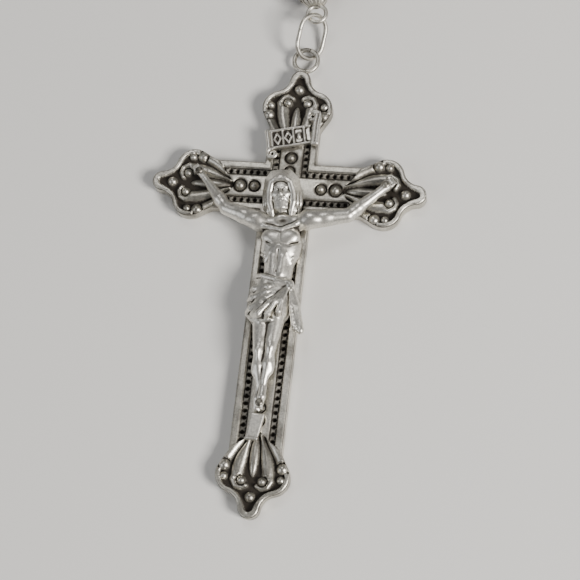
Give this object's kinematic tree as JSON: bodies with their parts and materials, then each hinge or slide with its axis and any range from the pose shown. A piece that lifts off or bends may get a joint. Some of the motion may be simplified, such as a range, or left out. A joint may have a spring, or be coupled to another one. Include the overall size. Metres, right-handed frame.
{
  "type": "rosary",
  "caption": "Prayer rosary: silver crucifix with applied figure, pendant beads, medal centrepiece and a looped chain of wooden beads on wire pins.",
  "frame": {"origin": "on the flat back of the cross, where the centre lines of its two bars meet", "axes": "+Y up the cross towards the chain, +X to the right of the cross, +Z out of the face of the cross"},
  "size_m": [0.1278, 0.2307, 0.005],
  "materials": {
    "cast_silver": "cast silver-coloured metal with dark patina left in the recesses and polished high points",
    "corpus_silver": "cast silver-coloured metal, brighter and more rubbed than the cross",
    "wire_silver": "drawn silver wire, lightly tarnished",
    "aged_silver": "dark tarnished silver",
    "bead_wood": "dark turned wood, waxed to a soft gloss"
  },
  "bodies": {
    "crucifix": {"cross": "cast_silver", "corpus": "corpus_silver", "title_scroll": "cast_silver", "title_pin": "aged_silver", "hand_nails": "aged_silver", "foot_nail": "aged_silver", "foot_rest": "cast_silver"},
    "crucifix_ring": {"crucifix_ring": "wire_silver"},
    "our_father_1_pin": {"our_father_1_pin": "wire_silver", "our_father_1_caps": "wire_silver"},
    "our_father_1_bead": {"our_father_1_bead": "bead_wood"},
    "hail_mary_1_pin": {"hail_mary_1_pin": "wire_silver"},
    "link_1": {"link_1": "wire_silver"},
    "hail_mary_1_bead": {"hail_mary_1_bead": "bead_wood"},
    "hail_mary_2_pin": {"hail_mary_2_pin": "wire_silver"},
    "link_2": {"link_2": "wire_silver"},
    "hail_mary_2_bead": {"hail_mary_2_bead": "bead_wood"},
    "hail_mary_3_pin": {"hail_mary_3_pin": "wire_silver"},
    "link_3": {"link_3": "wire_silver"},
    "hail_mary_3_bead": {"hail_mary_3_bead": "bead_wood"},
    "our_father_2_pin": {"our_father_2_pin": "wire_silver", "our_father_2_caps": "wire_silver"},
    "link_4": {"link_4": "wire_silver"},
    "our_father_2_bead": {"our_father_2_bead": "bead_wood"},
    "link_5": {"link_5": "wire_silver"},
    "centrepiece": {"centrepiece": "cast_silver"},
    "decade_1a": {"decade_1a_beads": "bead_wood", "decade_1a_chain": "wire_silver"},
    "decade_1b": {"decade_1b_beads": "bead_wood", "decade_1b_chain": "wire_silver"},
    "our_father_3_pin": {"our_father_3_pin": "wire_silver", "our_father_3_caps": "wire_silver"},
    "our_father_3_bead": {"our_father_3_bead": "bead_wood"},
    "decade_2a": {"decade_2a_beads": "bead_wood", "decade_2a_chain": "wire_silver"},
    "decade_2b": {"decade_2b_beads": "bead_wood", "decade_2b_chain": "wire_silver"},
    "our_father_4_pin": {"our_father_4_pin": "wire_silver", "our_father_4_caps": "wire_silver"},
    "our_father_4_bead": {"our_father_4_bead": "bead_wood"},
    "decade_3a": {"decade_3a_beads": "bead_wood", "decade_3a_chain": "wire_silver"},
    "decade_5b": {"decade_5b_beads": "bead_wood", "decade_5b_chain": "wire_silver"},
    "decade_5a": {"decade_5a_beads": "bead_wood", "decade_5a_chain": "wire_silver"},
    "our_father_6_pin": {"our_father_6_pin": "wire_silver", "our_father_6_caps": "wire_silver"},
    "our_father_6_bead": {"our_father_6_bead": "bead_wood"},
    "decade_4b": {"decade_4b_beads": "bead_wood", "decade_4b_chain": "wire_silver"},
    "decade_4a": {"decade_4a_beads": "bead_wood", "decade_4a_chain": "wire_silver"},
    "our_father_5_pin": {"our_father_5_pin": "wire_silver", "our_father_5_caps": "wire_silver"},
    "our_father_5_bead": {"our_father_5_bead": "bead_wood"},
    "decade_3b": {"decade_3b_beads": "bead_wood", "decade_3b_chain": "wire_silver"}
  },
  "joints": [
    {"name": "crucifix_ring_lift", "type": "hinge", "parent": "crucifix", "child": "crucifix_ring", "pos_m": [0.0002, 0.01513, 0.0008], "axis": [1, 0, 0], "range_deg": [-4, 45]},
    {"name": "our_father_1_swing", "type": "hinge", "parent": "crucifix_ring", "child": "our_father_1_pin", "pos_m": [0.00103, 0.01834, 0.0025], "axis": [0, 0, 1], "range_deg": [-35, 35]},
    {"name": "our_father_1_spin", "type": "hinge", "parent": "our_father_1_pin", "child": "our_father_1_bead", "pos_m": [0.00009, 0.02243, 0.0025], "axis": [-0.225, 0.9744, 0], "continuous": true},
    {"name": "link_1_swing", "type": "hinge", "parent": "our_father_1_pin", "child": "link_1", "pos_m": [-0.00086, 0.02653, 0.0025], "axis": [0, 0, 1], "range_deg": [-40, 40]},
    {"name": "hail_mary_1_lift", "type": "hinge", "parent": "link_1", "child": "hail_mary_1_pin", "pos_m": [-0.00113, 0.02787, 0.0025], "axis": [0.9799, 0.1994, 0], "range_deg": [-40, 40]},
    {"name": "hail_mary_1_spin", "type": "hinge", "parent": "hail_mary_1_pin", "child": "hail_mary_1_bead", "pos_m": [-0.00209, 0.03309, 0.0025], "axis": [-0.1736, 0.9848, 0], "continuous": true},
    {"name": "link_2_swing", "type": "hinge", "parent": "hail_mary_1_pin", "child": "link_2", "pos_m": [-0.00277, 0.03697, 0.0025], "axis": [0, 0, -1], "range_deg": [-40, 40]},
    {"name": "hail_mary_2_lift", "type": "hinge", "parent": "link_2", "child": "hail_mary_2_pin", "pos_m": [-0.00298, 0.03833, 0.0025], "axis": [-0.989, -0.1478, 0], "range_deg": [-40, 40]},
    {"name": "hail_mary_2_spin", "type": "hinge", "parent": "hail_mary_2_pin", "child": "hail_mary_2_bead", "pos_m": [-0.00366, 0.04359, 0.0025], "axis": [-0.1219, 0.9925, 0], "continuous": true},
    {"name": "link_3_swing", "type": "hinge", "parent": "hail_mary_2_pin", "child": "link_3", "pos_m": [-0.00414, 0.0475, 0.0025], "axis": [0, 0, 1], "range_deg": [-40, 40]},
    {"name": "hail_mary_3_lift", "type": "hinge", "parent": "link_3", "child": "hail_mary_3_pin", "pos_m": [-0.00427, 0.04887, 0.0025], "axis": [0.9954, 0.0958, 0], "range_deg": [-40, 40]},
    {"name": "hail_mary_3_spin", "type": "hinge", "parent": "hail_mary_3_pin", "child": "hail_mary_3_bead", "pos_m": [-0.00468, 0.05416, 0.0025], "axis": [-0.0698, 0.9976, 0], "continuous": true},
    {"name": "link_4_swing", "type": "hinge", "parent": "hail_mary_3_pin", "child": "link_4", "pos_m": [-0.00495, 0.05809, 0.0025], "axis": [0, 0, -1], "range_deg": [-40, 40]},
    {"name": "our_father_2_lift", "type": "hinge", "parent": "link_4", "child": "our_father_2_pin", "pos_m": [-0.00501, 0.05946, 0.0025], "axis": [-0.999, -0.0436, 0], "range_deg": [-40, 40]},
    {"name": "our_father_2_spin", "type": "hinge", "parent": "our_father_2_pin", "child": "our_father_2_bead", "pos_m": [-0.00514, 0.06503, 0.0025], "axis": [-0.0175, 0.9998, 0], "continuous": true},
    {"name": "link_5_swing", "type": "hinge", "parent": "our_father_2_pin", "child": "link_5", "pos_m": [-0.00522, 0.06923, 0.0025], "axis": [0, 0, 1], "range_deg": [-40, 40]},
    {"name": "centrepiece_lift", "type": "hinge", "parent": "link_5", "child": "centrepiece", "pos_m": [-0.00521, 0.07048, 0.0022], "axis": [1, -0.0087, 0], "range_deg": [-30, 30]},
    {"name": "decade_1a_lift", "type": "hinge", "parent": "centrepiece", "child": "decade_1a", "pos_m": [0.00258, 0.08338, 0.0022], "axis": [0.0849, -0.9964, 0], "range_deg": [-30, 30]},
    {"name": "decade_1b_lift", "type": "hinge", "parent": "decade_1a", "child": "decade_1b", "pos_m": [0.04728, 0.10871, 0.0025], "axis": [-0.811, 0.585, 0], "range_deg": [-30, 30]},
    {"name": "our_father_3_lift", "type": "hinge", "parent": "decade_1b", "child": "our_father_3_pin", "pos_m": [0.05718, 0.15923, 0.0025], "axis": [0.9718, 0.2357, 0], "range_deg": [-30, 30]},
    {"name": "our_father_3_spin", "type": "hinge", "parent": "our_father_3_pin", "child": "our_father_3_bead", "pos_m": [0.0555, 0.16454, 0.0025], "axis": [-0.3225, 0.9466, 0], "continuous": true},
    {"name": "decade_2a_lift", "type": "hinge", "parent": "our_father_3_pin", "child": "decade_2a", "pos_m": [0.05359, 0.16976, 0.0025], "axis": [-0.9135, -0.4068, 0], "range_deg": [-30, 30]},
    {"name": "decade_2b_lift", "type": "hinge", "parent": "decade_2a", "child": "decade_2b", "pos_m": [0.02736, 0.18142, 0.0025], "axis": [-0.6329, -0.7742, 0], "range_deg": [-30, 30]},
    {"name": "our_father_4_lift", "type": "hinge", "parent": "decade_2b", "child": "our_father_4_pin", "pos_m": [0.04345, 0.13367, 0.0025], "axis": [0.9725, -0.233, 0], "range_deg": [-30, 30]},
    {"name": "our_father_4_spin", "type": "hinge", "parent": "our_father_4_pin", "child": "our_father_4_bead", "pos_m": [0.04168, 0.1284, 0.0025], "axis": [-0.3455, -0.9384, 0], "continuous": true},
    {"name": "decade_3a_lift", "type": "hinge", "parent": "our_father_4_pin", "child": "decade_3a", "pos_m": [0.03961, 0.12324, 0.0025], "axis": [-0.8914, 0.4532, 0], "range_deg": [-30, 30]},
    {"name": "decade_5b_lift", "type": "hinge", "parent": "centrepiece", "child": "decade_5b", "pos_m": [-0.01214, 0.08389, 0.0022], "axis": [0.1542, 0.988, 0], "range_deg": [-30, 30]},
    {"name": "decade_5a_lift", "type": "hinge", "parent": "decade_5b", "child": "decade_5a", "pos_m": [-0.05497, 0.11228, 0.0025], "axis": [-0.8499, -0.527, 0], "range_deg": [-30, 30]},
    {"name": "our_father_6_lift", "type": "hinge", "parent": "decade_5a", "child": "our_father_6_pin", "pos_m": [-0.06132, 0.16337, 0.0025], "axis": [-0.953, 0.3029, 0], "range_deg": [-30, 30]},
    {"name": "our_father_6_spin", "type": "hinge", "parent": "our_father_6_pin", "child": "our_father_6_bead", "pos_m": [-0.05928, 0.16855, 0.0025], "axis": [0.3878, 0.9218, 0], "continuous": true},
    {"name": "decade_4b_lift", "type": "hinge", "parent": "our_father_6_pin", "child": "decade_4b", "pos_m": [-0.057, 0.17363, 0.0025], "axis": [-0.8829, 0.4695, 0], "range_deg": [-30, 30]},
    {"name": "decade_4a_lift", "type": "hinge", "parent": "decade_4b", "child": "decade_4a", "pos_m": [-0.03002, 0.18343, 0.0025], "axis": [-0.5774, 0.8165, 0], "range_deg": [-30, 30]},
    {"name": "our_father_5_lift", "type": "hinge", "parent": "decade_4a", "child": "our_father_5_pin", "pos_m": [-0.04941, 0.13692, 0.0025], "axis": [-0.9864, -0.1646, 0], "range_deg": [-30, 30]},
    {"name": "our_father_5_spin", "type": "hinge", "parent": "our_father_5_pin", "child": "our_father_5_bead", "pos_m": [-0.04801, 0.13153, 0.0025], "axis": [0.2792, -0.9602, 0], "continuous": true},
    {"name": "decade_3b_lift", "type": "hinge", "parent": "our_father_5_pin", "child": "decade_3b", "pos_m": [-0.0463, 0.12624, 0.0025], "axis": [0.9209, 0.3899, 0], "range_deg": [-30, 30]}
  ]
}
